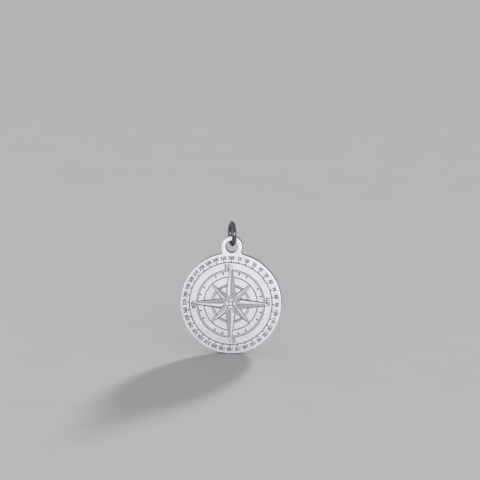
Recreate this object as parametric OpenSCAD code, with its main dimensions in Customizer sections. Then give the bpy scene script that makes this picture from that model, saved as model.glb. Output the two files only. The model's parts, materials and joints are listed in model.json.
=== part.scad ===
// Compass pendant: a flat round medallion, cut in one piece with the eyelet on its top
// edge, that hangs in a round wire jump ring.
// Millimetres, +Z up, the engraved face looks along -Y.
// The origin is the inside top of the jump ring, where a chain passes through it.

/* [Medallion] */
// Diameter of the round medallion
medallion_d = 20; // [18:0.5:26]
// Thickness of the metal
metal_t = 1.8; // [1.2:0.1:1.9]
// Radius of the rounded edges of both faces
edge_r = 0.1; // [0.05:0.05:0.25]

/* [Eyelet] */
// Outer diameter of the eyelet
eyelet_d = 4.2; // [3.8:0.1:4.6]
// Diameter of the hole in the eyelet
hole_d = 2.36; // [2.2:0.02:2.6]
// Height of the hole's centre above the medallion's rim
hole_rise = 1.25; // [1:0.05:1.4]
// Radius of the inside corners between the eyelet and the rim
corner_r = 0.4; // [0.2:0.05:0.6]

/* [Jump ring] */
// Diameter of the ring's wire
wire_d = 0.8; // [0.6:0.05:0.9]
// Inner diameter of the ring
ring_inner_d = 3.4; // [3.2:0.1:4.4]
// Turn of the ring about the vertical, its front side to the right
ring_turn = 17; // [0:1:20]
// Width of the closed split where the wire's two ends meet
split_w = 0.06; // [0.04:0.02:0.2]
// Place of the split, counted from the ring's back towards its top
split_turn = 25; // [10:5:60]
// Clearance between the eyelet and the wire that carries it
seat_gap = 0.05; // [0.05:0.05:0.2]

/* [Engraving] */
// Depth of the engraved lines
line_depth = 0.1; // [0.04:0.02:0.2]
// Depth of the shaded parts of the star
shade_depth = 0.05; // [0.02:0.01:0.1]
// Width of the engraved lines
line_w = 0.15; // [0.1:0.01:0.2]
// Width of the fine lines and marks
mark_w = 0.09; // [0.06:0.01:0.12]
// Circle of the degree marks, as a share of the medallion's radius
degree_ring = 0.817; // [0.78:0.001:0.82]
// Outer end of the degree marks
degree_mark = 0.858; // [0.84:0.002:0.87]
// Outer circle of the fine scale
scale_outer = 0.672; // [0.66:0.002:0.7]
// Inner circle of the fine scale
scale_inner = 0.642; // [0.62:0.002:0.65]
// Inner end of the long marks of the fine scale
long_mark = 0.587; // [0.57:0.001:0.61]
// Circle that the diagonal points reach
star_ring = 0.529; // [0.5:0.001:0.54]
// Outer circle of the band behind the points
band_outer = 0.38; // [0.365:0.001:0.4]
// Inner circle of the band behind the points
band_inner = 0.343; // [0.33:0.001:0.35]
// Edge of the shaded ground between the feet of the points
valley_ring = 0.215; // [0.2:0.005:0.23]
// Edge of the shaded collar round the hub
collar_ring = 0.12; // [0.11:0.005:0.14]
// Edge of the hub
hub_ring = 0.088; // [0.08:0.001:0.095]
// Circle in the middle of the hub
boss_ring = 0.04; // [0.035:0.001:0.05]

/* [Hidden] */
$fn = 96;
over = 1;

medallion_r = medallion_d / 2;
eyelet_r = eyelet_d / 2;
hole_r = hole_d / 2;

// The ring hangs from the origin, and its wire carries the eyelet at the two places
// where the faces of the metal cross the wire.
ring_inner_r = ring_inner_d / 2;
ring_r = ring_inner_r + wire_d / 2;
ring_z = -ring_inner_r;
seat_x = metal_t / 2 * tan(ring_turn);
seat_along = metal_t / 2 / cos(ring_turn);
seat_z = ring_z - sqrt(pow(ring_inner_r, 2) - pow(seat_along, 2));
hole_drop = hole_r - sqrt(pow(hole_r, 2) - pow(seat_x, 2));
hole_z = seat_z + hole_drop + seat_gap - hole_r;
eyelet_up = medallion_r + hole_rise;
medallion_z = hole_z - eyelet_up;

// Centre of the arc that rounds the corner between the rim and the eyelet, seen from the
// front with the medallion's centre at [0, 0]
rim_reach = medallion_r + corner_r;
eyelet_reach = eyelet_r + corner_r;
corner_up = (pow(rim_reach, 2) - pow(eyelet_reach, 2) + pow(eyelet_up, 2)) / (2 * eyelet_up);
corner_out = sqrt(pow(rim_reach, 2) - pow(corner_up, 2));

// One half of a point of the star: [distance from the centre, half width], both as shares
// of the medallion's radius, from the hub to the tip
MAIN_POINT = [[0.088, 0], [0.2, 0.09], [0.705, 0.026], [0.778, 0]];
DIAGONAL_POINT = [[0.088, 0], [0.21, 0.058], [0.5, 0.017], [0.527, 0]];
DEGREE_STEP = 10;
FINE_STEP = 3;
LONG_STEP = 15;
DIAGONAL_STEP = 45;

// A share of the medallion's radius in millimetres
function mm(share) = share * medallion_r;
// The places of a point's half, side 1 to the right of a point that looks up, -1 to its left
function half_points(half, side) = [for (p = half) [side * mm(p[1]), mm(p[0])]];
// The same, from the tip back to the foot, without the two places on the ridge
function flank_back(half, side) = [for (i = [len(half) - 2 : -1 : 1]) half_points(half, side)[i]];

// Flat section through a round slab with rounded edges, for turning about the vertical
module slab_section(radius) {
    square_h = metal_t - 2 * edge_r;
    translate([0, -metal_t / 2]) square([radius - edge_r, metal_t]);
    translate([0, -square_h / 2]) square([radius, square_h]);
    for (side = [-1, 1])
        translate([radius - edge_r, side * square_h / 2]) circle(edge_r);
}

// Section of a cutter that leaves rounded edges round the opening that it makes
module opening_section(radius) {
    square_h = metal_t - 2 * edge_r;
    difference() {
        translate([0, -metal_t / 2 - over]) square([radius + edge_r, metal_t + 2 * over]);
        translate([radius, -square_h / 2]) square([2 * edge_r, square_h]);
        for (side = [-1, 1])
            translate([radius + edge_r, side * square_h / 2]) circle(edge_r);
    }
}

// Metal that fills the two corners between the rim and the eyelet
module eyelet_root() {
    difference() {
        linear_extrude(metal_t, center = true)
            polygon([[0, 0], [corner_out, corner_up], [0, eyelet_up], [-corner_out, corner_up]]);
        for (side = [-1, 1])
            translate([side * corner_out, corner_up])
                rotate_extrude() opening_section(corner_r);
    }
}

// Medallion and eyelet without engraving, lying flat
module blank() {
    difference() {
        union() {
            rotate_extrude() slab_section(medallion_r);
            translate([0, eyelet_up]) rotate_extrude() slab_section(eyelet_r);
            eyelet_root();
        }
        translate([0, eyelet_up]) rotate_extrude() opening_section(hole_r);
    }
}

// Straight engraved line between two places
module line(from, to, width) {
    run = to - from;
    translate(from)
        rotate(atan2(run[1], run[0]))
            translate([-width / 2, -width / 2]) square([norm(run) + width, width]);
}

// Engraved circle
module ring_line(radius, width) {
    difference() {
        circle(radius + width / 2);
        circle(radius - width / 2);
    }
}

// Marks between two radii, at every step of an angle
module marks(step, from_r, to_r, width) {
    for (turn = [0 : step : 360 - step])
        rotate(-turn) line([0, from_r], [0, to_r], width);
}

// Whole outline of one point of the star
module point_area(half) {
    polygon(concat(half_points(half, 1), flank_back(half, -1)));
}

// The half of a point that lies clockwise of its ridge
module shaded_half(half) {
    polygon(half_points(half, 1));
}

// Outline of one point of the star, broad on its lit side and fine on its shaded side
module point_lines(half) {
    for (side = [-1, 1]) {
        places = half_points(half, side);
        for (i = [1 : len(places) - 1])
            line(places[i - 1], places[i], side < 0 ? line_w : mark_w);
    }
}

// Places its children at the four main points or at the four diagonal ones
module at_points(first_turn) {
    for (turn = [first_turn : 90 : first_turn + 270]) rotate(-turn) children();
}

module main_areas() {
    at_points(0) point_area(MAIN_POINT);
}

module star_area() {
    circle(mm(valley_ring));
    main_areas();
    at_points(DIAGONAL_STEP) point_area(DIAGONAL_POINT);
}

// Diagonal points lie behind the main ones, and the collar hides the feet of all of them
module star_lines() {
    difference() {
        union() {
            at_points(0) point_lines(MAIN_POINT);
            difference() {
                at_points(DIAGONAL_STEP) point_lines(DIAGONAL_POINT);
                main_areas();
            }
        }
        circle(mm(collar_ring));
    }
}

// Four bright petals are left between a circle and four spokes
module hub_lines() {
    ring_line(mm(boss_ring), line_w);
    at_points(DIAGONAL_STEP) line([0, mm(boss_ring)], [0, mm(hub_ring)], line_w);
}

// Shaded ground between the feet of the points
module valleys() {
    difference() {
        circle(mm(valley_ring));
        at_points(DIAGONAL_STEP) point_area(DIAGONAL_POINT);
    }
}

// Shaded half of each point, the valleys and the collar, all outside the hub
module star_shade() {
    difference() {
        union() {
            circle(mm(collar_ring));
            at_points(0) shaded_half(MAIN_POINT);
            difference() {
                union() {
                    at_points(DIAGONAL_STEP) shaded_half(DIAGONAL_POINT);
                    valleys();
                }
                main_areas();
            }
        }
        circle(mm(hub_ring));
    }
}

// Circles and scales, which the star covers
module dial_lines() {
    ring_line(mm(degree_ring), line_w);
    marks(DEGREE_STEP, mm(degree_ring), mm(degree_mark), line_w);
    difference() {
        union() {
            ring_line(mm(scale_outer), mark_w);
            ring_line(mm(scale_inner), mark_w);
            marks(FINE_STEP, mm(scale_inner), mm(scale_outer), mark_w);
            for (turn = [LONG_STEP : LONG_STEP : DIAGONAL_STEP - LONG_STEP])
                rotate(-turn) marks(DIAGONAL_STEP, mm(long_mark), mm(scale_inner), line_w);
            ring_line(mm(star_ring), line_w);
            ring_line(mm(band_outer), mark_w);
            ring_line(mm(band_inner), mark_w);
        }
        star_area();
    }
}

// Cuts a flat pattern into the face
module engrave(depth) {
    translate([0, 0, metal_t / 2 - depth]) linear_extrude(depth + over) children();
}

module medallion() {
    color("gainsboro")
        translate([0, 0, medallion_z])
            rotate([90, 0, 0])
                difference() {
                    blank();
                    engrave(line_depth) dial_lines();
                    engrave(line_depth) star_lines();
                    engrave(line_depth) hub_lines();
                    engrave(shade_depth) star_shade();
                }
}

module jump_ring() {
    split_angle = 2 * asin(split_w / 2 / ring_r);
    color("silver")
        translate([0, 0, ring_z])
            rotate([0, 0, ring_turn])
                rotate([90, 0, 90])
                    rotate(split_turn + split_angle / 2)
                        rotate_extrude(angle = 360 - split_angle)
                            translate([ring_r, 0]) circle(wire_d / 2);
}

medallion();
jump_ring();
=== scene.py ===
# %% [markdown]
# # A compass pendant in polished and engraved steel
# The real thing is two pieces: a thick round medallion, cut from sheet together with its
# eyelet and engraved by a laser, and a small ring of round wire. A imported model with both
# solids at their true size is loaded first, and every new piece is worked out from it.

# %% The frame and its box
import json
import math

import bmesh
import bpy
from mathutils import Matrix, Vector, geometry


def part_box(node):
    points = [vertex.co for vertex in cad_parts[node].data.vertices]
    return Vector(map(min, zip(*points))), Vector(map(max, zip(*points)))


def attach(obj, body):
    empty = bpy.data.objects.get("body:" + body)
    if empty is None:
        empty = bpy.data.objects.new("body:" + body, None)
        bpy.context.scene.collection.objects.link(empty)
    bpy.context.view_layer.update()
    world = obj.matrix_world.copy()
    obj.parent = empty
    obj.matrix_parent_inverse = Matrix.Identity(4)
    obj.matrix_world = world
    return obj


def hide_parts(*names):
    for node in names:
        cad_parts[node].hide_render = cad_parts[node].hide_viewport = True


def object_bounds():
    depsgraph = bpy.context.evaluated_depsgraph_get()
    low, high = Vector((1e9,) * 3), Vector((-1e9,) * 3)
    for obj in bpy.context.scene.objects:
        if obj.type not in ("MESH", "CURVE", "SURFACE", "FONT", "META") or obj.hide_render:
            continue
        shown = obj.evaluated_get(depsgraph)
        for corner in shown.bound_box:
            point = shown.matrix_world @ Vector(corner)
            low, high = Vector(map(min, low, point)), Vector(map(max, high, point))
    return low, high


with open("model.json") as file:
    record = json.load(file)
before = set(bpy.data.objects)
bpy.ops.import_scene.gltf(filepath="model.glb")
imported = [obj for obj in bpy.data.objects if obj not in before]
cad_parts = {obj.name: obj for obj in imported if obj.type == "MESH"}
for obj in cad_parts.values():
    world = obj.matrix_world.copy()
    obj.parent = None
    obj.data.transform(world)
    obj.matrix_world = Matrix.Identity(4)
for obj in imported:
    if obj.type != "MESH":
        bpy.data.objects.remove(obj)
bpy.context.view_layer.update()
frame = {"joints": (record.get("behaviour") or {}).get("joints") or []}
MM = 0.001

# %% [markdown]
# ## Sizes
# The flat pattern on the medallion is drawn like a plan on paper: millimetres, X to the right,
# Y up, the dial's centre at zero. Only the finished mesh is in metres. The medallion's own
# sizes are read from the frame, and the shares of the radius below are those of its pattern.
# The frame's round rims are made of small facets, so the new pieces stay a hair inside them.

# %% Sizes of the medallion and the ring
medallion_low, medallion_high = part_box("medallion")
ring_low, ring_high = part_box("jump_ring")
INSIDE = 0.005
rim_r = (medallion_high.x - medallion_low.x) / 2 / MM - INSIDE
thickness = (medallion_high.y - medallion_low.y) / MM
dial_z = medallion_low.z / MM + INSIDE + rim_r

# Radii that a box doesn't tell: the eyelet, its hole, the inside corners between eyelet and rim,
# the rounding of the edges, and the ring's wire
eyelet_r = 2.1
hole_r = 1.18
corner_r = 0.4
edge_r = 0.1
wire_r = 0.4

eyelet_up = medallion_high.z / MM - eyelet_r - dial_z
ring_r = (ring_high.z - ring_low.z) / 2 / MM - wire_r
ring_z = (ring_high.z + ring_low.z) / 2 / MM
ring_axis = Vector(frame["joints"][0]["axis"])
ring_turn = math.atan2(ring_axis.y, ring_axis.x)
print(f"rim {rim_r:.3f}, thickness {thickness:.3f}, eyelet {eyelet_up:.3f} above the dial's centre")
print(f"ring of radius {ring_r:.3f}, turned {math.degrees(ring_turn):.1f} degrees")

# %% [markdown]
# ## Helpers for node trees
# Geometry Nodes make everything here that repeats round the dial, and shader trees make the
# finishes. Both kinds of tree are built with the same small helper: it adds a node, and each
# input is given a number or the socket of another node.

# %% Node tree helpers
def put(tree, kind, inputs=None, **settings):
    """Adds a node. inputs maps a socket's name or number to a value or to another socket."""
    node = tree.nodes.new(kind)
    for name, value in settings.items():
        setattr(node, name, value)
    for socket, value in (inputs or {}).items():
        if isinstance(value, bpy.types.NodeSocket):
            tree.links.new(value, node.inputs[socket])
        else:
            node.inputs[socket].default_value = value
    return node


def make(tree, kind, inputs=None, **settings):
    """Adds a node and returns its first output, which holds what the node makes."""
    return put(tree, kind, inputs, **settings).outputs[0]


def maths(tree, operation, a, b=0.0):
    """One sum, product or the like, of numbers or sockets."""
    return make(tree, "ShaderNodeMath", {0: a, 1: b}, operation=operation)


def vector(tree, x=0.0, y=0.0, z=0.0):
    """Joins three numbers or sockets to a vector."""
    return make(tree, "ShaderNodeCombineXYZ", {"X": x, "Y": y, "Z": z})


def add_inputs(tree, sizes):
    """Named inputs, for whole numbers where the value is one: {"Radius": 5.0, "Count": 36}."""
    for label, value in sizes.items():
        kind = "NodeSocketInt" if isinstance(value, int) else "NodeSocketFloat"
        socket = tree.interface.new_socket(label, in_out="INPUT", socket_type=kind)
        socket.default_value = value


def new_tree(name, sizes):
    """A Geometry Nodes tree with named inputs. Returns it and the sockets of its inputs."""
    tree = bpy.data.node_groups.new(name, "GeometryNodeTree")
    add_inputs(tree, sizes)
    tree.interface.new_socket("Geometry", in_out="OUTPUT", socket_type="NodeSocketGeometry")
    return tree, put(tree, "NodeGroupInput").outputs


def end_tree(tree, geometry, material):
    """Ends a tree in real geometry with a material."""
    real = make(tree, "GeometryNodeRealizeInstances", {"Geometry": geometry})
    dressed = make(tree, "GeometryNodeSetMaterial", {"Geometry": real, "Material": material})
    put(tree, "NodeGroupOutput", {"Geometry": dressed})


def run_tree(tree, **sizes):
    """Runs a tree once on an empty object and returns the plain mesh that it makes."""
    seed = bpy.data.objects.new(tree.name, bpy.data.meshes.new(tree.name))
    bpy.context.scene.collection.objects.link(seed)
    modifier = seed.modifiers.new(tree.name, "NODES")
    modifier.node_group = tree
    for item in tree.interface.items_tree:
        label = item.name.lower().replace(" ", "_")
        if item.in_out == "INPUT" and label in sizes:
            modifier[item.identifier] = sizes[label]
    depsgraph = bpy.context.evaluated_depsgraph_get()
    mesh = bpy.data.meshes.new_from_object(seed.evaluated_get(depsgraph), depsgraph=depsgraph)
    seed.modifiers.clear()
    bpy.data.objects.remove(seed)
    return mesh


# %% [markdown]
# ## Shared surface effects
# Polished sheet is never a perfect mirror. It has a fine upright grain from the brush, slow
# clouds where it was buffed more or less, and hairline scratches from wear. A picture of steel
# could be wrapped round it, but that blurs from nearby. Noise stays sharp at any distance, and
# it only has to be drawn out to become grain. Each effect is one shader group that puts out
# masks, so every finish uses the same one with its own values.

# %% Group: satin grain and buffing clouds
def new_group(name, inputs, outputs):
    """A shader group with named values. Returns it, its inputs and the place on the piece."""
    tree = bpy.data.node_groups.new(name, "ShaderNodeTree")
    add_inputs(tree, inputs)
    for label in outputs:
        tree.interface.new_socket(label, in_out="OUTPUT", socket_type="NodeSocketFloat")
    return tree, put(tree, "NodeGroupInput").outputs, place_on_piece(tree)


def place_on_piece(tree):
    """Coordinates that stay with the piece as it moves, in metres."""
    return put(tree, "ShaderNodeTexCoord").outputs["Object"]


def noise(tree, place, scale, detail, roughness):
    """Soft noise between 0 and 1. Its scale is in waves per metre."""
    return put(tree, "ShaderNodeTexNoise", {
        "Vector": place, "Scale": scale, "Detail": detail, "Roughness": roughness,
    }).outputs["Fac"]


def scaled(tree, place, factors):
    """A place multiplied by three factors. A small factor draws a pattern out along its axis."""
    return make(tree, "ShaderNodeVectorMath", {0: place, 1: factors}, operation="MULTIPLY")


def build_grain():
    """Grain is noise drawn out upright, as many times as its length says. Clouds are plain noise."""
    tree, size, place = new_group(
        "satin_grain",
        {"Grain per m": 14000.0, "Grain length": 20.0, "Clouds per m": 260.0},
        ["Grain", "Clouds"])
    brushed = scaled(
        tree, place, vector(tree, 1.0, 1.0, maths(tree, "DIVIDE", 1.0, size["Grain length"])))
    grain = noise(tree, brushed, size["Grain per m"], detail=3.0, roughness=0.6)
    clouds = noise(tree, place, size["Clouds per m"], detail=3.0, roughness=0.55)
    put(tree, "NodeGroupOutput", {"Grain": grain, "Clouds": clouds})
    return tree


satin_grain = build_grain()
print("group", satin_grain.name)

# %% [markdown]
# ### Hairline scratches
# Wear leaves fine straight lines in a few directions. Lines could be modelled one by one, but
# hundreds of them are only a tint on the steel. Noise that is drawn out passes its middle value
# along long thin curves, so a narrow band of values round it makes the lines.

# %% Group: hairline scratches
HAIRLINE_TURNS = (17.0, 71.0, 128.0)
HAIRLINE_BAND = 0.0025


def build_hairlines():
    """Lines in three directions on the face, each where drawn-out noise is near its middle."""
    tree, size, place = new_group(
        "hairlines", {"Lines per m": 900.0, "Stretch": 38.0, "Amount": 0.5}, ["Mask"])
    total = None
    for turn in HAIRLINE_TURNS:
        turned = make(tree, "ShaderNodeVectorRotate", {
            "Vector": place, "Axis": (0.0, 1.0, 0.0), "Angle": math.radians(turn),
        }, rotation_type="AXIS_ANGLE")
        x, y, z = put(tree, "ShaderNodeSeparateXYZ", {0: turned}).outputs
        drawn_out = vector(tree, maths(tree, "DIVIDE", x, size["Stretch"]), y, z)
        field = noise(tree, drawn_out, size["Lines per m"], detail=1.0, roughness=0.4)
        line = make(tree, "ShaderNodeMapRange", {
            "Value": maths(tree, "ABSOLUTE", maths(tree, "SUBTRACT", field, 0.5)),
            "From Min": 0.0, "From Max": HAIRLINE_BAND, "To Min": 1.0, "To Max": 0.0,
        })
        total = line if total is None else maths(tree, "MAXIMUM", total, line)
    put(tree, "NodeGroupOutput", {"Mask": maths(tree, "MULTIPLY", total, size["Amount"])})
    return tree


hairlines = build_hairlines()
print("group", hairlines.name, "with", len(HAIRLINE_TURNS), "directions")

# %% [markdown]
# ## The finishes
# The steel is one metal in several states: the satin face and its rounded edges, the frosted
# grey floors that the laser leaves, the ridged walls where the sheet was cut, which are darker
# partly as cut steel and partly by painted shade, and the ring's polished wire, whose colour is
# painted dark for the dark reflections it shows. All of them share the groups above and differ
# in their values, so each is a short function.
#
# The face comes first. Its edges are tumbled, so they are smoother than the face and free of its
# streaks, and their colour is lighter: partly that polish, partly a painted highlight that keeps
# the rounded edges from going dark. A second material there would end in a hard line, so the
# mesh carries an attribute that is 1 on the edges, and the colour is blended by it.

# %% Steel of the medallion
EDGE_MARK = "rounded_edge"
MICRON = 0.000001
WORN_STEEL = (0.62, 0.606, 0.626)
BUFFED_STEEL = (0.78, 0.764, 0.784)
# The rounded edges' colour is lighter than the buffed face: their polish plus a painted highlight.
TUMBLED_STEEL_AND_PAINTED_HIGHLIGHT = (0.9, 0.885, 0.905)
FACE_ROUGHNESS = (0.29, 0.37)
EDGE_POLISH = 0.02


def new_material(name):
    """An empty material with a shader. Returns it, its tree and the shader."""
    material = bpy.data.materials.new(name)
    material.use_nodes = True
    tree = material.node_tree
    tree.nodes.clear()
    shader = put(tree, "ShaderNodeBsdfPrincipled")
    put(tree, "ShaderNodeOutputMaterial", {"Surface": shader.outputs[0]})
    return material, tree, shader


def use_group(tree, group, **values):
    """Places a shared effect with its own values. Returns its outputs."""
    node = put(tree, "ShaderNodeGroup", node_tree=group)
    for name, value in values.items():
        node.inputs[name.replace("_", " ")].default_value = value
    return node.outputs


def spread(tree, value, low, high):
    """Brings a mask from 0 to 1 to the span from low to high."""
    return make(tree, "ShaderNodeMapRange", {"Value": value, "To Min": low, "To Max": high})


def blend_colour(tree, share, first, second):
    """Goes from the first colour to the second as the share goes from 0 to 1."""
    node = put(tree, "ShaderNodeMix", {"Factor": share}, data_type="RGBA")
    for socket, colour in ((6, first), (7, second)):
        if isinstance(colour, bpy.types.NodeSocket):
            tree.links.new(colour, node.inputs[socket])
        else:
            node.inputs[socket].default_value = (*colour, 1.0)
    return node.outputs[2]


def bump(tree, height, distance, strength, below=None):
    """Relief from a mask, so many metres high, laid over another relief."""
    inputs = {"Height": height, "Distance": distance, "Strength": strength}
    if below is not None:
        inputs["Normal"] = below
    return make(tree, "ShaderNodeBump", inputs)


def scratched(tree, mask, roughness, normal, rougher, depth):
    """Adds scratches, which are rougher than the steel beside them and so many metres deep."""
    roughness = maths(tree, "ADD", roughness, maths(tree, "MULTIPLY", mask, rougher))
    groove = maths(tree, "MULTIPLY", mask, -1.0)
    return roughness, bump(tree, groove, distance=depth, strength=0.4, below=normal)


def finish_metal(tree, shader, colour, roughness, normal, metallic=1.0):
    """Gives a metal shader its values and what changes over its surface."""
    shader.inputs["Metallic"].default_value = metallic
    for socket, value in (("Base Color", colour), ("Roughness", roughness), ("Normal", normal)):
        tree.links.new(value, shader.inputs[socket])


def steel_face():
    """Satin steel: grain and clouds set colour and roughness, scratches lie on top, and the rounded
    edges get a lighter colour, partly a painted highlight.
    """
    material, tree, shader = new_material("satin_steel")
    grain = use_group(tree, satin_grain)
    scratch = use_group(tree, hairlines, Amount=0.6)["Mask"]
    edge = put(tree, "ShaderNodeAttribute", attribute_name=EDGE_MARK).outputs["Fac"]
    streaks = spread(tree, grain["Grain"], -0.5, 1.5)
    buffed = maths(tree, "MULTIPLY", maths(tree, "ADD", streaks, grain["Clouds"]), 0.5)
    colour = blend_colour(tree, buffed, WORN_STEEL, BUFFED_STEEL)
    # Painted highlight: the rounded edges take a lighter colour than the face.
    colour = blend_colour(tree, edge, colour, TUMBLED_STEEL_AND_PAINTED_HIGHLIGHT)
    rough = spread(tree, grain["Clouds"], *FACE_ROUGHNESS)
    rough = maths(tree, "ADD", rough, spread(tree, grain["Grain"], -0.03, 0.03))
    rough = maths(tree, "SUBTRACT", rough, maths(tree, "MULTIPLY", edge, EDGE_POLISH))
    normal = bump(tree, grain["Grain"], distance=2 * MICRON, strength=0.5)
    normal = bump(tree, grain["Clouds"], distance=12 * MICRON, strength=0.15, below=normal)
    rough, normal = scratched(tree, scratch, rough, normal, rougher=0.08, depth=3 * MICRON)
    finish_metal(tree, shader, colour, rough, normal)
    return material


medallion_steel = steel_face()
print("finish", medallion_steel.name, "of", len(medallion_steel.node_tree.nodes), "nodes")

# %% [markdown]
# ### Engraved floors
# A laser melts and burns the face and leaves a frosted grey floor, rough and speckled. A dark
# colour alone would look like paint, so the floor stays half metallic. Grain that isn't drawn
# out is a speckle, and clouds multiplied by it make it uneven. The deep lines are a little
# darker and rougher than the shallow shading.

# %% Engraved floors
FLOOR_METALLIC = 0.55
SPECKLES_PER_M = 26000.0
BURNS_PER_M = 1500.0


def engraved_floor(name, dark, light, rough):
    """Frosted metal where the laser burnt the face."""
    material, tree, shader = new_material(name)
    grain = use_group(
        tree, satin_grain, Grain_per_m=SPECKLES_PER_M, Grain_length=1.0, Clouds_per_m=BURNS_PER_M)
    speckle = maths(tree, "MULTIPLY", grain["Grain"], grain["Clouds"])
    colour = blend_colour(tree, spread(tree, speckle, -0.4, 2.2), dark, light)
    roughness = spread(tree, grain["Grain"], rough - 0.1, rough + 0.1)
    normal = bump(tree, grain["Grain"], distance=10 * MICRON, strength=0.8)
    finish_metal(tree, shader, colour, roughness, normal, metallic=FLOOR_METALLIC)
    return material


engraved_line = engraved_floor("engraved_line", (0.15, 0.148, 0.155), (0.27, 0.267, 0.276), 0.6)
engraved_shade = engraved_floor("engraved_shade", (0.19, 0.188, 0.195), (0.33, 0.326, 0.336), 0.55)
print("finishes", engraved_line.name, "and", engraved_shade.name)

# %% [markdown]
# ### Cut walls
# The rim and the hole show the side of the sheet, where a cut leaves fine ridges from front to
# back. They are far too small to model, so noise that is drawn out along the thickness tints the
# steel and gives it relief. Both walls are darker than the face, partly as cut steel and partly
# as painted shade, and the hole's wall is painted darkest, as shade that outlines the hole.

# %% Cut walls
RIDGES_PER_M = 11000.0
RIDGE_LENGTH = 25.0
WALL_CLOUDS_PER_M = 900.0
WALL_ROUGHNESS = (0.26, 0.4)


def cut_steel(name, dark, light):
    """Ridged steel, darker than the face: partly cut steel, partly painted shade."""
    material, tree, shader = new_material(name)
    drawn_out = scaled(tree, place_on_piece(tree), (1.0, 1.0 / RIDGE_LENGTH, 1.0))
    ridges = noise(tree, drawn_out, RIDGES_PER_M, detail=3.0, roughness=0.6)
    clouds = use_group(tree, satin_grain, Clouds_per_m=WALL_CLOUDS_PER_M)["Clouds"]
    colour = blend_colour(tree, spread(tree, ridges, -0.2, 1.3), dark, light)
    roughness = spread(tree, clouds, *WALL_ROUGHNESS)
    normal = bump(tree, ridges, distance=12 * MICRON, strength=0.6)
    finish_metal(tree, shader, colour, roughness, normal)
    return material


# Painted shade: both walls are darker than the face, and the hole's wall is the darkest.
cut_wall = cut_steel("cut_wall", (0.34, 0.33, 0.34), (0.52, 0.51, 0.525))
hole_wall = cut_steel("hole_wall", (0.10, 0.092, 0.09), (0.22, 0.205, 0.2))
print("finishes", cut_wall.name, "and", hole_wall.name)

# %% [markdown]
# ### Polished wire
# Wire is drawn through a die and polished in a drum, so it is smoother than sheet. Bright wire
# would mirror the pale floor all round and lose its form, so its colour is painted dark: a
# painted dark reflection, not a darker steel.

# %% Polished wire of the ring, painted dark
# Both wire colours are painted dark reflections; the clouds between them are the wire's own.
WIRE_PAINTED_DARKEST = (0.15, 0.15, 0.17)
WIRE_PAINTED_DARK = (0.23, 0.23, 0.255)
WIRE_ROUGHNESS = (0.10, 0.18)


def steel_wire():
    """Smooth steel whose colour is painted dark for its reflections, with slow clouds and a few
    scratches.
    """
    material, tree, shader = new_material("polished_wire")
    clouds = use_group(tree, satin_grain, Clouds_per_m=700.0)["Clouds"]
    scratch = use_group(tree, hairlines, Lines_per_m=1400.0, Amount=0.7)["Mask"]
    colour = blend_colour(tree, clouds, WIRE_PAINTED_DARKEST, WIRE_PAINTED_DARK)
    rough = spread(tree, clouds, *WIRE_ROUGHNESS)
    normal = bump(tree, clouds, distance=6 * MICRON, strength=0.4)
    rough, normal = scratched(tree, scratch, rough, normal, rougher=0.12, depth=2 * MICRON)
    finish_metal(tree, shader, colour, rough, normal)
    return material


ring_steel = steel_wire()
FINISHES = (medallion_steel, engraved_line, engraved_shade, cut_wall, hole_wall)
STEEL, LINE_FLOOR, SHADE_FLOOR, RIM_WALL_AND_SHADE, HOLE_WALL_SHADE = range(len(FINISHES))
print("finishes:", [m.name for m in FINISHES + (ring_steel,)])

# %% [markdown]
# ## The pattern's repeats
# A compass dial is all repetition: circles, marks every few degrees, numbers every ten, hatched
# strips. Loops could work out every corner, but a node tree states each rule once and takes its
# sizes as inputs. Each family is one Geometry Nodes tree that draws flat shapes on the plan.
# Nothing is cut yet: the shapes are only outlines for the engraver.

# %% Tree: an engraved circle
CIRCLE_POINTS = 240


def flat_profile(tree, width):
    """A short line that turns any flat curve into a flat strip of this width."""
    half = maths(tree, "MULTIPLY", width, 0.5)
    return make(tree, "GeometryNodeCurvePrimitiveLine", {
        "Start": vector(tree, maths(tree, "MULTIPLY", half, -1.0)), "End": vector(tree, half)})


def build_circle_tree():
    """A circle drawn as a flat strip."""
    tree, size = new_tree("engraved_circle", {"Radius": 5.0, "Width": 0.15})
    path = make(tree, "GeometryNodeCurvePrimitiveCircle", {
        "Resolution": CIRCLE_POINTS, "Radius": size["Radius"]})
    band = make(tree, "GeometryNodeCurveToMesh", {
        "Curve": path, "Profile Curve": flat_profile(tree, size["Width"])})
    end_tree(tree, band, engraved_line)
    return tree


circle_tree = build_circle_tree()
print("tree", circle_tree.name)

# %% Tree: marks at equal steps round the dial
def clockwise_turn(tree, index, count, first_turn=0.0):
    """Rotation of the index-th of count places round the dial, clockwise from the first."""
    turn = maths(tree, "MULTIPLY", maths(tree, "DIVIDE", index, count), -2 * math.pi)
    turn = maths(tree, "ADD", first_turn, turn)
    return make(tree, "FunctionNodeEulerToRotation", {0: vector(tree, z=turn)})


def span(tree, low, high):
    """Length and middle of the stretch between two numbers."""
    middle = maths(tree, "MULTIPLY", maths(tree, "ADD", high, low), 0.5)
    return maths(tree, "SUBTRACT", high, low), middle


def flat_bar(tree, size_x, size_y, middle):
    """A flat bar with its middle at a place."""
    bar = make(tree, "GeometryNodeMeshGrid", {
        "Size X": size_x, "Size Y": size_y, "Vertices X": 2, "Vertices Y": 2})
    return make(tree, "GeometryNodeTransform", {"Geometry": bar, "Translation": middle})


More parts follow.
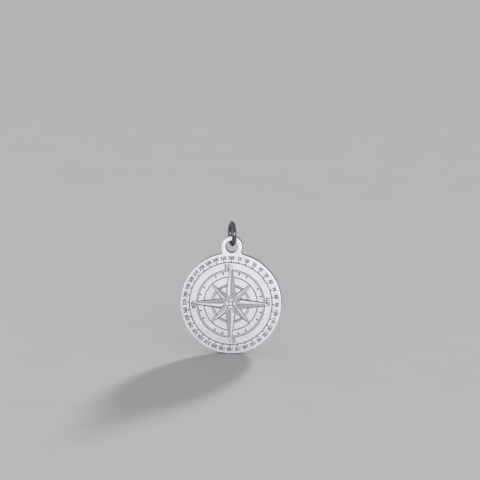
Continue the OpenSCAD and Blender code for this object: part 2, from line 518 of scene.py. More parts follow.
def build_marks_tree():
    """Bars that point to the centre. Multiples of Skip are left out, and 0 leaves out none."""
    tree, size = new_tree("dial_marks", {
        "Count": 36, "Skip": 0, "Inner": 8.0, "Outer": 8.5, "Width": 0.1})
    length, middle = span(tree, size["Inner"], size["Outer"])
    index = make(tree, "GeometryNodeInputIndex")
    skipped = maths(tree, "MODULO", index, size["Skip"])
    drawn = maths(tree, "ADD", skipped, maths(tree, "LESS_THAN", size["Skip"], 1.0))
    marks = make(tree, "GeometryNodeInstanceOnPoints", {
        "Points": make(tree, "GeometryNodePoints", {"Count": size["Count"]}),
        "Selection": drawn,
        "Instance": flat_bar(tree, size["Width"], length, vector(tree, y=middle)),
        "Rotation": clockwise_turn(tree, index, size["Count"]),
    })
    end_tree(tree, marks, engraved_line)
    return tree


marks_tree = build_marks_tree()
print("tree", marks_tree.name)

# %% [markdown]
# ### The degree numbers
# The dial is numbered every ten degrees, clockwise from the top, with the feet of the numbers
# towards the centre. Blender's own plain letters are thin for an engraving, so their outlines
# are moved outwards before they are filled. A repeat zone writes all 36 and works out each
# number from its place in the row.

# %% Tree: the degree numbers
DIGIT_SHARE = 0.73


def build_numbers_tree():
    """A repeat zone writes each number, squeezes it, moves it out to its circle and turns it."""
    tree, size = new_tree("degree_numbers", {
        "Count": 36, "Radius": 9.0, "Height": 0.69, "Narrowing": 0.8, "Boldness": 0.03})
    start = put(tree, "GeometryNodeRepeatInput")
    stop = put(tree, "GeometryNodeRepeatOutput")
    start.pair_with_output(stop)
    tree.links.new(size["Count"], start.inputs["Iterations"])
    place = maths(tree, "ADD", start.outputs["Iteration"], 1.0)
    degrees = maths(tree, "MULTIPLY", place, maths(tree, "DIVIDE", 360.0, size["Count"]))
    letters = make(tree, "GeometryNodeStringToCurves", {
        "String": make(tree, "FunctionNodeValueToString", {"Value": degrees}),
        "Size": maths(tree, "DIVIDE", size["Height"], DIGIT_SHARE),
        "Character Spacing": 1.06,
    }, align_x="CENTER", align_y="BOTTOM_BASELINE")
    foot = maths(tree, "SUBTRACT", size["Radius"], maths(tree, "MULTIPLY", size["Height"], 0.5))
    upright = make(tree, "GeometryNodeTransform", {
        "Geometry": letters, "Translation": vector(tree, y=foot),
        "Scale": vector(tree, size["Narrowing"], 1.0, 1.0),
    })
    number = make(tree, "GeometryNodeTransform", {
        "Geometry": upright, "Rotation": clockwise_turn(tree, place, size["Count"])})
    both = put(tree, "GeometryNodeJoinGeometry")
    for part in (start.outputs["Geometry"], number):
        tree.links.new(part, both.inputs[0])
    tree.links.new(both.outputs[0], stop.inputs["Geometry"])
    real = make(tree, "GeometryNodeRealizeInstances", {"Geometry": stop.outputs["Geometry"]})
    outlines = make(tree, "GeometryNodeResampleCurve", {"Curve": real}, mode="EVALUATED")
    outward = make(tree, "ShaderNodeVectorMath", {
        0: make(tree, "GeometryNodeInputNormal"), "Scale": size["Boldness"],
    }, operation="SCALE")
    bold = make(tree, "GeometryNodeSetPosition", {"Geometry": outlines, "Offset": outward})
    flat = make(tree, "GeometryNodeFillCurve", {"Curve": bold}, mode="TRIANGLES")
    end_tree(tree, flat, engraved_line)
    return tree


numbers_tree = build_numbers_tree()
print("tree", numbers_tree.name)

# %% [markdown]
# ### The hatching
# One half of each point is shaded with short strokes across it, which start a little over the
# ridge and get finer towards the tip. The bars of the tree are longer than the half is wide,
# because the plan later cuts off what lies outside the point.

# %% Tree: hatching across the points of the star
def build_hatch_tree():
    """Tapered bars stand in a row along a point, finer towards its tip. The row is repeated."""
    tree, size = new_tree("point_hatching", {
        "Lines": 50, "Start": 1.0, "End": 7.0, "Left": -0.08, "Right": 1.0, "Width": 0.085,
        "Taper": 0.5, "Fading": 0.2, "Points": 2, "First turn": 0.0,
    })
    length, middle = span(tree, size["Left"], size["Right"])
    bar = flat_bar(tree, length, size["Width"], vector(tree, middle))
    corner = make(tree, "GeometryNodeInputPosition")
    x, y, _ = put(tree, "ShaderNodeSeparateXYZ", {0: corner}).outputs
    narrower = maths(tree, "MULTIPLY", maths(tree, "MULTIPLY", x, y), size["Taper"])
    bar = make(tree, "GeometryNodeSetPosition", {
        "Geometry": bar, "Offset": vector(tree, y=maths(tree, "MULTIPLY", narrower, -1.0))})
    index = make(tree, "GeometryNodeInputIndex")
    last = maths(tree, "SUBTRACT", size["Lines"], 1.0)
    outward = maths(tree, "DIVIDE", index, last)
    pitch = maths(tree, "DIVIDE", maths(tree, "SUBTRACT", size["End"], size["Start"]), last)
    row = make(tree, "GeometryNodeMeshLine", {
        "Count": size["Lines"], "Start Location": vector(tree, y=size["Start"]),
        "Offset": vector(tree, y=pitch),
    })
    fade = maths(tree, "SUBTRACT", 1.0, maths(tree, "MULTIPLY", outward, size["Fading"]))
    strip = make(tree, "GeometryNodeInstanceOnPoints", {
        "Points": row, "Instance": bar, "Scale": vector(tree, 1.0, fade, 1.0)})
    star = make(tree, "GeometryNodeInstanceOnPoints", {
        "Points": make(tree, "GeometryNodePoints", {"Count": size["Points"]}),
        "Instance": strip,
        "Rotation": clockwise_turn(tree, index, size["Points"], size["First turn"]),
    })
    end_tree(tree, star, engraved_shade)
    return tree


hatch_tree = build_hatch_tree()
print("tree", hatch_tree.name)

# %% [markdown]
# ## The plan
# The plan is a list of flat shapes, each with a kind. Kinds matter where shapes cross: the star
# lies over the circles and hides them, hatching shows only inside the shaded halves, and the
# diagonal points go under the main ones.

# %% Shapes from the trees
plan = []


def add_shape(kind, corners):
    """Adds a flat shape. Its corners have to run counter-clockwise, so others are turned round."""
    corners = [(float(x), float(y)) for x, y in corners]
    twice_area = sum(a[0] * b[1] - b[0] * a[1] for a, b in zip(corners, corners[1:] + corners[:1]))
    plan.append((kind, corners if twice_area > 0 else corners[::-1]))


def add_repeats(kind, tree, **sizes):
    """Runs a tree with these sizes and adds every face of its flat mesh."""
    mesh = run_tree(tree, **sizes)
    for face in mesh.polygons:
        add_shape(kind, [mesh.vertices[v].co.xy for v in face.vertices])
    bpy.data.meshes.remove(mesh)


DEGREE_RING = 0.817 * rim_r
DEGREE_MARK = 0.858 * rim_r
NUMBER_RING = 0.9125 * rim_r
TRACK_OUTER = 0.672 * rim_r
TRACK_INNER = 0.642 * rim_r
LONG_MARK = 0.587 * rim_r
STAR_RING = 0.529 * rim_r
BAND_OUTER = 0.380 * rim_r
BAND_INNER = 0.343 * rim_r

# One row for each circle: kind, radius and width
CIRCLES = (
    ("dial", DEGREE_RING, 0.15),
    ("under", TRACK_OUTER, 0.115),
    ("under", TRACK_INNER, 0.07),
    ("under", STAR_RING, 0.15),
    ("under", BAND_OUTER, 0.09),
    ("under", BAND_INNER, 0.09),
)
# One row for each family of marks: kind, how many go round, which multiples are left out (0 for
# none), inner and outer radius, width. The band behind the star is filled with fine marks all
# round, and with full ones in part of it.
MARKS = (
    ("dial", 36, 0, DEGREE_RING, DEGREE_MARK, 0.18),
    ("under", 120, 0, TRACK_INNER, TRACK_OUTER, 0.07),
    ("under", 24, 3, LONG_MARK, TRACK_INNER, 0.2),
    ("full band", 200, 0, BAND_INNER, BAND_OUTER, 0.06),
    ("fine band", 200, 0, BAND_INNER, BAND_OUTER, 0.025),
)
for kind, radius, width in CIRCLES:
    add_repeats(kind, circle_tree, radius=radius, width=width)
for kind, count, skip, inner, outer, width in MARKS:
    add_repeats(kind, marks_tree, count=count, skip=skip, inner=inner, outer=outer, width=width)
add_repeats("dial", numbers_tree, count=36, radius=NUMBER_RING)
print(len(plan), "shapes of circles, marks and numbers")

# %% [markdown]
# ## The star
# A point of the star is a long kite with a ridge. One table gives half of its outline, from the
# hub out to the tip, as shares of the rim's radius: how far out, and half the width there. The
# rest follows by mirroring and turning. The lines round a point are thin at the hub, broad
# where the point is broad, and fine again at the tip, as in engraving by hand.

# %% Points of the star
MAIN_HALF = ((0.088, 0.0), (0.2, 0.09), (0.705, 0.026), (0.778, 0.0))
DIAGONAL_HALF = ((0.088, 0.0), (0.21, 0.058), (0.5, 0.017), (0.527, 0.0))

# Where the hatching starts, and the width of a point's lines at the hub
HATCH_FOOT_R = 0.13 * rim_r
FOOT_W = 0.05


def turned(points, degrees):
    """Points turned clockwise about the dial's centre."""
    c, s = math.cos(math.radians(degrees)), math.sin(math.radians(degrees))
    return [(x * c + y * s, y * c - x * s) for x, y in points]


def stroke(path, widths):
    """Quads along a path that is widths[i] wide at its i-th point."""
    edges = []
    for i, (x, y) in enumerate(path):
        ahead = path[min(i + 1, len(path) - 1)]
        behind = path[max(i - 1, 0)]
        run = Vector((ahead[0] - behind[0], ahead[1] - behind[1])).normalized() * widths[i] / 2
        edges.append(((x - run.y, y + run.x), (x + run.y, y - run.x)))
    return [[a[1], b[1], b[0], a[0]] for a, b in zip(edges, edges[1:])]


def add_point(rank, half, degrees, lit_w, shaded_w, tip_w):
    """One point: its area and a line along each side, finer at the foot and at the tip."""
    right = [(w * rim_r, r * rim_r) for r, w in half]
    left = [(-x, y) for x, y in right]
    add_shape(rank + " area", turned(right + left[-2:0:-1], degrees))
    for path, width in ((left, lit_w), (right, shaded_w)):
        for quad in stroke(path, [FOOT_W, width, tip_w, tip_w]):
            add_shape(rank + " line", turned(quad, degrees))


# One row for each pair of opposite points: rank, turn of the first, half outline, width of
# the lines on the lit side, on the shaded side and at the tip; hatching: number of lines,
# their width at the ridge and how far out they reach
# The pairs differ partly as painted shade: broader lines on the level points and denser hatching on
# the southeast and northwest points stand for grooves of those directions lying in shade.
PAIRS = (
    ("main", 0, MAIN_HALF, 0.16, 0.08, 0.06, 43, 0.092, 0.67),
    ("main", 90, MAIN_HALF, 0.3, 0.13, 0.12, 43, 0.09, 0.67),
    ("diagonal", 45, DIAGONAL_HALF, 0.21, 0.1, 0.1, 28, 0.055, 0.47),
    ("diagonal", 135, DIAGONAL_HALF, 0.19, 0.12, 0.09, 28, 0.085, 0.47),
)
for rank, degrees, half, lit_w, shaded_w, tip_w, lines, hatch_w, reach in PAIRS:
    for opposite in (0, 180):
        add_point(rank, half, degrees + opposite, lit_w, shaded_w, tip_w)
    add_repeats(
        rank + " hatch", hatch_tree, lines=lines, start=HATCH_FOOT_R, end=reach * rim_r,
        width=hatch_w, first_turn=math.radians(-degrees))
print("star added,", len(plan), "shapes")

# %% [markdown]
# ## Hub and band
# The points grow out of a small rosette: a round boss with four petals and spokes between them.
# Fine rays shade the collar round it and the valleys between the points. The filling of the
# band behind the star is darker on the north and south sides, so two wide sectors say where its
# broader lines show.

# %% Hub and band
HUB_R = 0.088 * rim_r
BOSS_R = 0.04 * rim_r
COLLAR_R = 0.12 * rim_r
VALLEY_R = 0.215 * rim_r
ROUND_STEPS = 64
BOSS_W = 0.13
SPOKE_WIDTHS = (0.16, 0.2)
SECTOR_REACH = 5.0

# One row for each ring of rays: how many go round, inner and outer radius, width
RAY_FOOT_R = HUB_R - 0.05
RAY_CHANGE_R = COLLAR_R + 0.1
RAYS = (
    (64, RAY_FOOT_R, RAY_CHANGE_R, 0.045),
    (96, RAY_CHANGE_R, VALLEY_R, 0.03),
)


def circle_points(radius):
    """Points once round a circle, clockwise from the top. The last one is the first again."""
    turns = [math.radians(360 * i / ROUND_STEPS) for i in range(ROUND_STEPS + 1)]
    return [(radius * math.sin(t), radius * math.cos(t)) for t in turns]


for kind, radius in (("hub area", HUB_R), ("collar", COLLAR_R), ("valley", VALLEY_R)):
    add_shape(kind, circle_points(radius)[:-1])
for quad in stroke(circle_points(BOSS_R), [BOSS_W] * (ROUND_STEPS + 1)):
    add_shape("hub line", quad)
for count, inner, outer, width in RAYS:
    add_repeats("ray", marks_tree, count=count, skip=0, inner=inner, outer=outer, width=width)
for degrees in (45, 135, 225, 315):
    for quad in stroke([(0, BOSS_R), (0, HUB_R)], SPOKE_WIDTHS):
        add_shape("hub line", turned(quad, degrees))
for degrees in (0, 180):
    sector = [(0, 0), (-SECTOR_REACH, SECTOR_REACH), (SECTOR_REACH, SECTOR_REACH)]
    add_shape("band sector", turned(sector, degrees))
print("hub added,", len(plan), "shapes")

# %% [markdown]
# ## The letters
# N, E, S and W stand upright, each just counter-clockwise of its point. They are roman
# capitals, so each is a few strokes of a broad pen: thick stems, thin arms and short serifs.
# Places are in a box that is one letter high, with its middle at zero.

# %% Letters
LETTER_H = 1.02
LETTER_RING = 0.731 * rim_r
THICK, THIN, SERIF = 0.15, 0.11, 0.32
BOW_R = 0.235


def thick(start, end):
    """A broad straight stroke: its path, and its width at both ends."""
    return [start, end], (THICK, THICK)


def thin(start, end):
    """A fine straight stroke."""
    return [start, end], (THIN, THIN)


def serif(x, y):
    """A fine short stroke across the end of another one."""
    return thin((x - SERIF / 2, y), (x + SERIF / 2, y))


def curve_of_s():
    """Two arcs that meet in the middle, with the pen at its broadest there."""
    bow_y = 0.5 - THIN / 2 - BOW_R
    turns = [math.radians(degrees) for degrees in range(20, 271, 25)]
    top = [(BOW_R * math.cos(t), bow_y + BOW_R * math.sin(t)) for t in turns]
    path = top + [(-x, -y) for x, y in reversed(top[:-1])]
    middle = (len(path) - 1) / 2
    return path, [THICK - (THICK - THIN) * abs(i - middle) / middle for i in range(len(path))]


LETTERS = {
    "N": [
        thin((-0.32, -0.46), (-0.32, 0.46)),
        thick((-0.36, 0.48), (0.32, -0.5)),
        thin((0.32, -0.46), (0.32, 0.46)),
        serif(-0.32, -0.46), serif(0.32, 0.46),
    ],
    "E": [
        thick((-0.2, -0.48), (-0.2, 0.48)),
        thin((-0.36, 0.46), (0.3, 0.46)),
        thin((-0.2, 0.0), (0.16, 0.0)),
        thin((-0.36, -0.46), (0.32, -0.46)),
        thin((0.27, 0.5), (0.27, 0.28)),
        thin((0.3, -0.5), (0.3, -0.26)),
        thin((0.16, 0.1), (0.16, -0.1)),
    ],
    "S": [
        curve_of_s(),
        thin((0.24, 0.44), (0.24, 0.22)),
        thin((-0.24, -0.44), (-0.24, -0.22)),
    ],
    "W": [
        thick((-0.42, 0.46), (-0.2, -0.5)),
        thin((-0.2, -0.5), (0.02, 0.4)),
        thick((0.0, 0.46), (0.2, -0.5)),
        thin((0.2, -0.5), (0.42, 0.46)),
        serif(-0.42, 0.46), serif(0.0, 0.46), serif(0.42, 0.46),
    ],
}

# For each letter: the turn of its point in degrees, how far clockwise of the point it stands in
# mm, and how much it is widened
LETTER_PLACES = {
    "N": (0, -0.83, 1.05),
    "E": (90, -0.80, 1.1),
    "S": (180, -0.75, 1.05),
    "W": (270, -0.67, 1.0),
}
for name, (degrees, aside, widening) in LETTER_PLACES.items():
    [centre] = turned([(aside, LETTER_RING)], degrees)
    for path, widths in LETTERS[name]:
        for quad in stroke(path, widths):
            add_shape("dial", [
                (centre[0] + x * LETTER_H * widening, centre[1] + y * LETTER_H) for x, y in quad])
print("letters added,", len(plan), "shapes")

# %% [markdown]
# ## The medallion's outline
# Rim, eyelet and the two small rounded corners between them are arcs that touch. A Bevel
# modifier could round their edges, but it would stumble over the engraving. Moving every arc
# inwards by the same inset gives the outline at each step of the rounded edge instead, always
# with the same number of points, so neighbouring outlines can be joined by quads.

# %% Outline and edge profile
corner_up = ((rim_r + corner_r) ** 2 - (eyelet_r + corner_r) ** 2 + eyelet_up**2) / (2 * eyelet_up)
corner_out = math.sqrt((rim_r + corner_r) ** 2 - corner_up**2)
RIM_STEPS, EYELET_STEPS, CORNER_STEPS, HOLE_STEPS, EDGE_STEPS = 320, 72, 8, 72, 5


def arc(centre, radius, first, last, steps):
    """Points on an arc between two angles, without its last point."""
    turns = [first + (last - first) * i / steps for i in range(steps)]
    return [(centre[0] + radius * math.cos(t), centre[1] + radius * math.sin(t)) for t in turns]


def outline(inset):
    """Counter-clockwise outline of the medallion and its eyelet, moved inwards."""
    to_rim = math.atan2(corner_up, corner_out)
    to_eyelet = math.atan2(corner_up - eyelet_up, corner_out)
    back_to_eyelet = math.atan2(eyelet_up - corner_up, -corner_out)
    between = corner_r + inset
    rim = arc((0, 0), rim_r - inset, math.pi - to_rim, 2 * math.pi + to_rim, RIM_STEPS)
    right = arc((corner_out, corner_up), between, to_rim + math.pi, back_to_eyelet, CORNER_STEPS)
    eyelet = arc((0, eyelet_up), eyelet_r - inset, to_eyelet, math.pi - to_eyelet, EYELET_STEPS)
    left = arc((-corner_out, corner_up), between, math.pi - back_to_eyelet, -to_rim, CORNER_STEPS)
    return rim + right + eyelet + left


def hole(inset):
    """Clockwise outline of the eyelet's hole, moved outwards, since its edge is rounded too."""
    return arc((0, eyelet_up), hole_r + inset, 2 * math.pi, 0, HOLE_STEPS)


def edge_profile():
    """Steps from the front face round the edge to the back: (inset, depth behind the face)."""
    front = [(edge_r * (1 - math.sin(t)), edge_r * (1 - math.cos(t)))
             for t in (math.pi / 2 * i / EDGE_STEPS for i in range(EDGE_STEPS + 1))]
    return front + [(inset, thickness - depth) for inset, depth in reversed(front)]


print(len(outline(0)), "points in the outline,", len(edge_profile()), "steps round the edge")

# %% [markdown]
# ## Engraving
# A constrained triangulation puts the whole plan on the face at once: it splits the face along
# every line of the plan and tells for each small triangle which shapes it lies in. From those
# kinds follows how deep the triangle is sunk, and wherever two depths meet, an upright wall
# joins them. The result is one closed mesh, with no boolean that could fail.

# %% The plan laid on the face
# Three levels, and how deep each lies in mm
FACE, SHADE, LINE = 0, 1, 2
DEPTHS = (0.0, 0.05, 0.1)

# The plan's layers from the top one down. The first that a spot lies in decides how deep it is:
# kind, level, and the kind that turns it into shading where both meet
LAYERS = (
    ("dial", LINE, None),
    ("hub line", LINE, None),
    ("hub area", FACE, None),
    ("collar", FACE, "ray"),
    ("main line", LINE, None),
    ("main area", FACE, "main hatch"),
    ("diagonal line", LINE, None),
    ("diagonal area", FACE, "diagonal hatch"),
    ("valley", FACE, "ray"),
    ("under", LINE, None),
    ("fine band", SHADE, None),
)

# Corners within one step of the grid are one place, and the triangulation joins what is closer
# than epsilon, both in mm. It keeps only what lies inside a shape.
GRID = 1e-4
EPSILON = 1e-5
INSIDE_SHAPES = 1


def triangulate(places, shapes):
    """Triangles inside flat shapes that may cross, each with the numbers of its shapes."""
    spots, _, triangles, _, _, origins = geometry.delaunay_2d_cdt(
        places, [], shapes, INSIDE_SHAPES, EPSILON, True)
    return spots, list(zip(triangles, origins))


def depth_level(kinds):
    """How deep a spot is engraved that lies in shapes of these kinds."""
    for kind, level, shading in LAYERS:
        if kind in kinds:
            return SHADE if shading in kinds else level
    return SHADE if {"full band", "band sector"} <= kinds else FACE


def lay_out(shapes):
    """Splits the face along all shapes. Returns places and triangles with their levels."""
    places, numbers, faces = [], {}, []
    for _, corners in shapes:
        face = []
        for x, y in corners:
            key = (round(x / GRID), round(y / GRID))
            if key not in numbers:
                numbers[key] = len(places)
                places.append(Vector((x, y)))
            face.append(numbers[key])
        faces.append([v for i, v in enumerate(face) if v != face[i - 1]])
    kept = [(kind, face) for (kind, _), face in zip(shapes, faces) if len(face) > 2]
    spots, pieces = triangulate(places, [face for _, face in kept])
    triangles = []
    for corners, origins in pieces:
        kinds = {kept[i][0] for i in origins}
        if "face" in kinds and "hole" not in kinds:
            triangles.append((corners, depth_level(kinds)))
    return spots, triangles


face_places, face_triangles = lay_out(
    [("face", outline(edge_r)), ("hole", hole(edge_r)[::-1])] + plan)
print(len(face_places), "places and", len(face_triangles), "triangles on the face")

# %% [markdown]
# ## The medallion's mesh
# Each place of the plan becomes one vertex for every depth that meets there, so floors and walls
# share their corners. The rounded edge, the rim and the plain back close the body. Its edges are
# shaded smooth and the rest flat, so that the engraving stays crisp.

# %% Engraved face, floors and walls
FLOOR_FINISH = {FACE: STEEL, SHADE: SHADE_FLOOR, LINE: LINE_FLOOR}
front_y = medallion_low.y / MM


def weld(mesh):
    """Joins vertices at one place. A place between two steps of the grid can be noted twice."""
    welded = bmesh.new()
    welded.from_mesh(mesh)
    bmesh.ops.remove_doubles(welded, verts=welded.verts, dist=GRID * MM / 10)
    welded.to_mesh(mesh)
    welded.free()


class Body:
    """Takes vertices in millimetres and faces with a finish, and makes them a mesh in metres."""

    def __init__(self):
        self.numbers = {}
        self.places, self.edge_marks = [], []
        self.faces, self.finishes, self.smooth = [], [], []

    def vertex(self, x, up, depth, edge_mark=0.0):
        """Number of the vertex at a place, which is made when it is first asked for."""
        key = (round(x / GRID), round(up / GRID), round(depth / GRID))
        if key not in self.numbers:
            self.numbers[key] = len(self.places)
            self.places.append((x * MM, (front_y + depth) * MM, (dial_z + up) * MM))
            self.edge_marks.append(edge_mark)
        return self.numbers[key]

    def face(self, corners, finish=STEEL, smooth=False):
        """Adds a face with its finish, unless the grid has put two of its corners in one place."""
        if len(set(corners)) == len(corners):
            self.faces.append(corners)
            self.finishes.append(finish)
            self.smooth.append(smooth)

    def mesh(self, name, materials):
        """The finished mesh, whose edges are marked for the steel's colour."""
        mesh = bpy.data.meshes.new(name)
        mesh.from_pydata(self.places, [], self.faces)
        for material in materials:
            mesh.materials.append(material)
        mesh.polygons.foreach_set("material_index", self.finishes)
        mesh.polygons.foreach_set("use_smooth", self.smooth)
        mesh.attributes.new(EDGE_MARK, "FLOAT", "POINT").data.foreach_set("value", self.edge_marks)
        weld(mesh)
        return mesh


def add_engraved_face(body):
    """Floors at their depths, and a wall along each side where a deep triangle meets a higher."""
    levels_at, side_of = {}, {}
    for corners, level in face_triangles:
        for i, corner in enumerate(corners):
            levels_at.setdefault(corner, set()).add(level)
            side_of[corner, corners[i - 1]] = level

    def sunk(corner, level):
        """Vertex at a corner, as deep as its level."""
        return body.vertex(*face_places[corner], DEPTHS[level])

    def climb(corner, low, high):
        """Vertices at a corner from one level up to another, with any level between."""
        levels = range(low, high - 1, -1)
        return [sunk(corner, level) for level in levels if level in levels_at[corner]]

    for corners, level in face_triangles:
        body.face([sunk(corner, level) for corner in corners], FLOOR_FINISH[level])
    for (end, start), low in side_of.items():
        high = side_of.get((start, end), low)
        if high < low:
            body.face(climb(start, low, high) + climb(end, low, high)[::-1], FLOOR_FINISH[low])


medallion_body = Body()
add_engraved_face(medallion_body)
print(len(medallion_body.faces), "faces on the engraved side")

# %% Rounded edge, rim and back
def add_edge(body, loop_at, wall):
    """Quads round an outline through the steps of the edge profile. Its middle step is the wall."""
    rings = []
    for inset, depth in edge_profile():
        mark = 0.0 if inset >= edge_r else 1.0
        rings.append([body.vertex(x, y, depth, mark) for x, y in loop_at(inset)])
    for step, (front, behind) in enumerate(zip(rings, rings[1:])):
        finish = wall if step == EDGE_STEPS else STEEL
        for i in range(len(front)):
            body.face([front[i - 1], behind[i - 1], behind[i], front[i]], finish, smooth=True)


def add_back(body):
    """The plain back, inside the outline and outside the hole."""
    rim, opening = outline(edge_r), hole(edge_r)[::-1]
    places = [Vector(p) for p in rim + opening]
    faces = [list(range(len(rim))), list(range(len(rim), len(places)))]
    spots, pieces = triangulate(places, faces)
    for corners, origins in pieces:
        if list(origins) == [0]:
            body.face([body.vertex(*spots[c], thickness) for c in reversed(corners)])


add_edge(medallion_body, outline, RIM_WALL_AND_SHADE)
add_edge(medallion_body, hole, HOLE_WALL_SHADE)
add_back(medallion_body)


def new_piece(name, mesh):
    """An object at the origin, since the mesh is already in its place."""
    piece = bpy.data.objects.new(name, mesh)
    bpy.context.scene.collection.objects.link(piece)
    return piece


medallion_mesh = medallion_body.mesh("engraved_medallion", FINISHES)
engraved_medallion = new_piece("engraved_medallion", medallion_mesh)
print("medallion:", len(medallion_mesh.vertices), "vertices,", len(medallion_mesh.polygons), "faces")

# %% [markdown]
# ## The jump ring
# The ring is round wire, bent until its ends meet. A path and a profile are the plainest job
# for Geometry Nodes: an arc that stops short of a full turn by the split, and a circle swept
# along it with both ends closed.

# %% Tree: a ring of round wire with a split
ARC_POINTS = 161
WIRE_SIDES = 40


def build_ring_tree():
    """Wire swept along an arc that leaves out the split. The split turns from the arc's start."""
    tree, size = new_tree("split_ring", {
        "Ring radius": 2.1, "Wire radius": 0.4, "Split": 0.06, "Split turn": 25.0})
    split_angle = maths(tree, "DIVIDE", size["Split"], size["Ring radius"])
    half_split = maths(tree, "MULTIPLY", split_angle, 0.5)
    start = maths(tree, "ADD", maths(tree, "RADIANS", size["Split turn"]), half_split)
    path = make(tree, "GeometryNodeCurveArc", {
        "Resolution": ARC_POINTS, "Radius": size["Ring radius"], "Start Angle": start,
        "Sweep Angle": maths(tree, "SUBTRACT", 2 * math.pi, split_angle),
    }, mode="RADIUS")
    section = make(tree, "GeometryNodeCurvePrimitiveCircle", {
        "Resolution": WIRE_SIDES, "Radius": size["Wire radius"]})
    wire = make(tree, "GeometryNodeCurveToMesh", {
        "Curve": path, "Profile Curve": section, "Fill Caps": True})
    end_tree(tree, wire, ring_steel)
    return tree


def ring_mesh():
    """The ring is made lying flat, and its axis is then turned to the joint's. The wire is
    shaded smooth, and its two end faces, the only ones that aren't quads, stay flat."""
    mesh = run_tree(build_ring_tree(), ring_radius=ring_r, wire_radius=wire_r - INSIDE)
    mesh.name = "wire_ring"
    quarter_turn = math.pi / 2
    about_z = Matrix.Rotation(ring_turn + quarter_turn, 4, "Z")
    stand_up = about_z @ Matrix.Rotation(quarter_turn, 4, "X")
    mesh.transform(Matrix.Scale(MM, 4) @ Matrix.Translation((0, 0, ring_z)) @ stand_up)
    for face in mesh.polygons:
        face.use_smooth = len(face.vertices) == 4
    return mesh


wire_ring = new_piece("wire_ring", ring_mesh())
print("ring:", len(wire_ring.data.polygons), "faces")

# %% [markdown]
# ## Bodies
# The new pieces stand for the two solids, and each rides on that solid's body. The ring is held
# by its chain, and the medallion swings in it.

# %% Riding and replacing
for piece, body, node, slot in (
    (engraved_medallion, "pendant", "medallion", "medallion_steel"),
    (wire_ring, "ring", "jump_ring", "ring_steel"),
):
    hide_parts(node)
    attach(piece, body)
    print(piece.name, "stands for", node, "and rides on", body)

# %% [markdown]
# ## Stage, light and camera
# The pendant hangs a hair above a wide pale floor, so that its shadow starts right at its foot.
# The floor ends far beyond the picture, so that no edge of it shows behind the ring.

# %% Floor
FLOOR_DROP = 0.05 * MM
FLOOR_HALF = 3.0
DARK_FLOOR = (0.58, 0.58, 0.59)
PALE_FLOOR = (0.62, 0.62, 0.63)
FLOOR_CLOUDS_PER_M = 90.0
FLOOR_ROUGHNESS = 0.6
floor_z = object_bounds()[0].z - FLOOR_DROP


def pale_floor():
    """Matt grey with faint clouds."""
    material, tree, shader = new_material("pale_floor")
    clouds = noise(tree, place_on_piece(tree), FLOOR_CLOUDS_PER_M, detail=4.0, roughness=0.5)
    colour = blend_colour(tree, clouds, DARK_FLOOR, PALE_FLOOR)
    tree.links.new(colour, shader.inputs["Base Color"])
    shader.inputs["Roughness"].default_value = FLOOR_ROUGHNESS
    return material


def build_floor():
    """One square face just below the pendant."""
    mesh = bpy.data.meshes.new("floor")
    sides = [(-1, -1), (1, -1), (1, 1), (-1, 1)]
    corners = [(x * FLOOR_HALF, y * FLOOR_HALF, floor_z) for x, y in sides]
    mesh.from_pydata(corners, [], [(0, 1, 2, 3)])
    mesh.materials.append(pale_floor())
    return new_piece("floor", mesh)


build_floor()
print(f"floor at {floor_z / MM:.3f} mm")

# %% [markdown]
# ### The light
# A polished face shows what stands opposite to it, so the tone of the steel comes from a wide
# and low softbox in front, a little to the right. It stands far off, as the camera does, because
# a near light or a near eye would make the face's top much brighter than its bottom. A far light
# from behind throws the shadow forwards, and a weak softbox fills the left side. The rest is the
# even light of the world, which stands for a studio's pale walls.

# %% Soft studio light
def new_light(name, kind, direction, energy):
    """A light that shines in a direction and is never seen itself."""
    light = bpy.data.lights.new(name, kind)
    light.energy = energy
    lamp = bpy.data.objects.new(name, light)
    lamp.rotation_euler = Vector(direction).to_track_quat("-Z", "Y").to_euler()
    lamp.visible_camera = False
    bpy.context.scene.collection.objects.link(lamp)
    return lamp


def softbox(name, place, aim, size, energy):
    """A rectangular light whose middle is at a place."""
    lamp = new_light(name, "AREA", aim - Vector(place), energy)
    lamp.location = place
    lamp.data.shape = "RECTANGLE"
    lamp.data.size, lamp.data.size_y = size


def far_light(name, direction, energy, spread_angle):
    """An even light from far away, for the shadow on the floor. The steel doesn't mirror it."""
    lamp = new_light(name, "SUN", direction, energy)
    lamp.data.angle = math.radians(spread_angle)
    lamp.visible_glossy = False


face_centre = Vector((0, medallion_low.y, dial_z * MM))
softbox("front_softbox", place=(0.5, -1.5, 0.2155), aim=face_centre, size=(2.0, 0.48), energy=13.2)
far_light("low_back_light", direction=(-0.2, -1.0, -0.27), energy=3.6, spread_angle=7.0)
softbox("left_fill", place=(-0.55, -0.05, 0.25), aim=face_centre, size=(0.3, 0.4), energy=0.1)

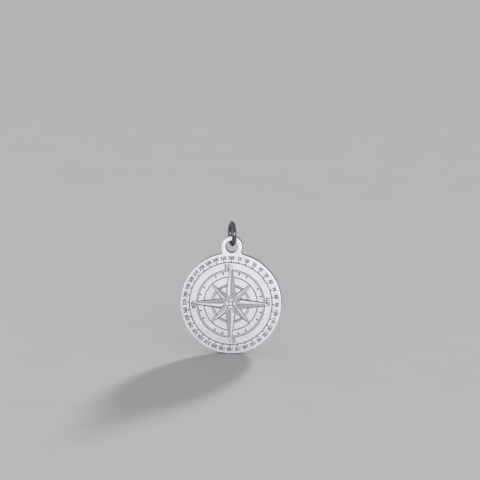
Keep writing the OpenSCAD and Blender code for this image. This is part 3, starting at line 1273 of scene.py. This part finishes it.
WORLD_COLOUR = (0.96, 0.955, 0.985, 1.0)
WORLD_STRENGTH = 0.46
world = bpy.data.worlds.new("studio")
world.use_nodes = True
background = world.node_tree.nodes["Background"].inputs
background["Color"].default_value = WORLD_COLOUR
background["Strength"].default_value = WORLD_STRENGTH
bpy.context.scene.world = world
bpy.context.scene.view_settings.view_transform = "Standard"

# %% [markdown]
# ### The camera
# The view is read from how the round face looks in the picture. The shape of its ellipse says
# how far the eye is turned from it, and its place and width say where the camera aims and how
# long its lens is. The distance is chosen, and the camera is worked out from all of these.

# %% Camera
# The picture's side in pixels, the pixel of the face's centre, and the picture's scale there
PHOTO_SIDE = 480
FACE_PIXEL = (230.68, 303.55)
PIXELS_PER_MM = 5.085

VIEW_TURN = math.radians(5.0)
VIEW_HEIGHT = math.radians(9.4)
VIEW_ROLL = math.radians(0.85)
VIEW_DISTANCE = 1.0
SENSOR = 36.0
NEAR_LIMIT = 0.01
FAR_LIMIT = 20.0


def place_camera():
    """A camera that shows the face's centre at its pixel, at the picture's scale."""
    data = bpy.data.cameras.new("camera")
    camera = bpy.data.objects.new("camera", data)
    bpy.context.scene.collection.objects.link(camera)
    back = Vector((math.sin(VIEW_TURN) * math.cos(VIEW_HEIGHT),
                   -math.cos(VIEW_TURN) * math.cos(VIEW_HEIGHT), math.sin(VIEW_HEIGHT)))
    roll = Matrix.Rotation(VIEW_ROLL, 3, "Z")
    level = (-back).to_track_quat("-Z", "Y").to_matrix() @ roll
    aside = (PHOTO_SIDE / 2 - FACE_PIXEL[0]) * level.col[0]
    above = (FACE_PIXEL[1] - PHOTO_SIDE / 2) * level.col[1]
    aim = face_centre + (aside + above) * MM / PIXELS_PER_MM
    camera.location = face_centre + back * VIEW_DISTANCE
    look = (aim - camera.location).to_track_quat("-Z", "Y").to_matrix()
    camera.rotation_euler = (look @ roll).to_euler()
    data.sensor_width = SENSOR
    data.lens = SENSOR * PIXELS_PER_MM / MM * VIEW_DISTANCE / PHOTO_SIDE
    data.clip_start, data.clip_end = NEAR_LIMIT, FAR_LIMIT
    bpy.context.scene.camera = camera
    return camera


camera = place_camera()
print(f"camera with a lens of {camera.data.lens:.0f} mm")
